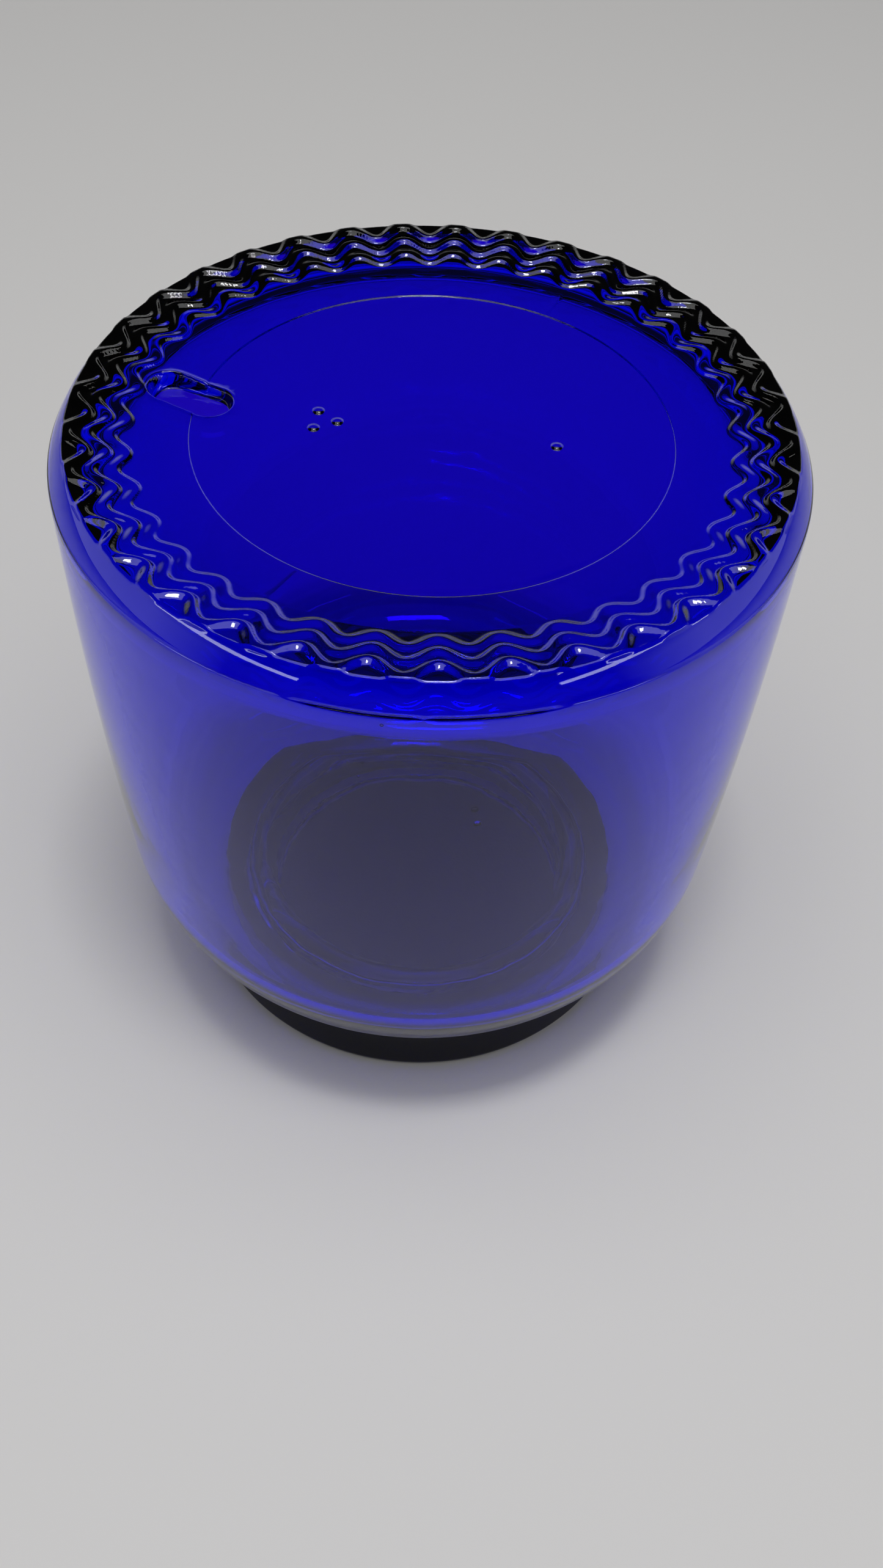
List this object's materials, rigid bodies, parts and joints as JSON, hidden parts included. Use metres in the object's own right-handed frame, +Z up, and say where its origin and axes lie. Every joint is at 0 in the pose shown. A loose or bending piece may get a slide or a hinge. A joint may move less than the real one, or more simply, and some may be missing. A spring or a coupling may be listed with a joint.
{
  "type": "glass jar with screw cap",
  "caption": "Cobalt blue glass jar with a wavy knurled base ring, standing upside down on its black screw cap.",
  "frame": {"origin": "centre of the cap's flat outer face, on the surface that the inverted jar stands on", "axes": "+Z up the jar's axis towards its knurled base; +X right and +Y back, with the index slot at the left"},
  "size_m": [0.076, 0.076, 0.078],
  "materials": {
    "cobalt_glass": "polished",
    "cap_plastic": "gloss",
    "liner_foam": "matte"
  },
  "bodies": {
    "cap": {"screw_cap": "cap_plastic"},
    "liner": {"cap_liner": "liner_foam"},
    "jar": {"glass_jar": "cobalt_glass"}
  },
  "joints": [
    {"name": "jar_turn", "type": "hinge", "parent": "cap", "child": "liner", "pos_m": [0, 0, 0.002], "axis": [0, 0, 1], "range_deg": [0, 864]},
    {"name": "jar_rise", "type": "slide", "parent": "liner", "child": "jar", "axis": [0, 0, 1], "range_m": [0, 0.012]}
  ],
  "couplings": [
    {"joint": "jar_rise", "follows": "jar_turn", "m_per_rad": 0.00079577}
  ]
}
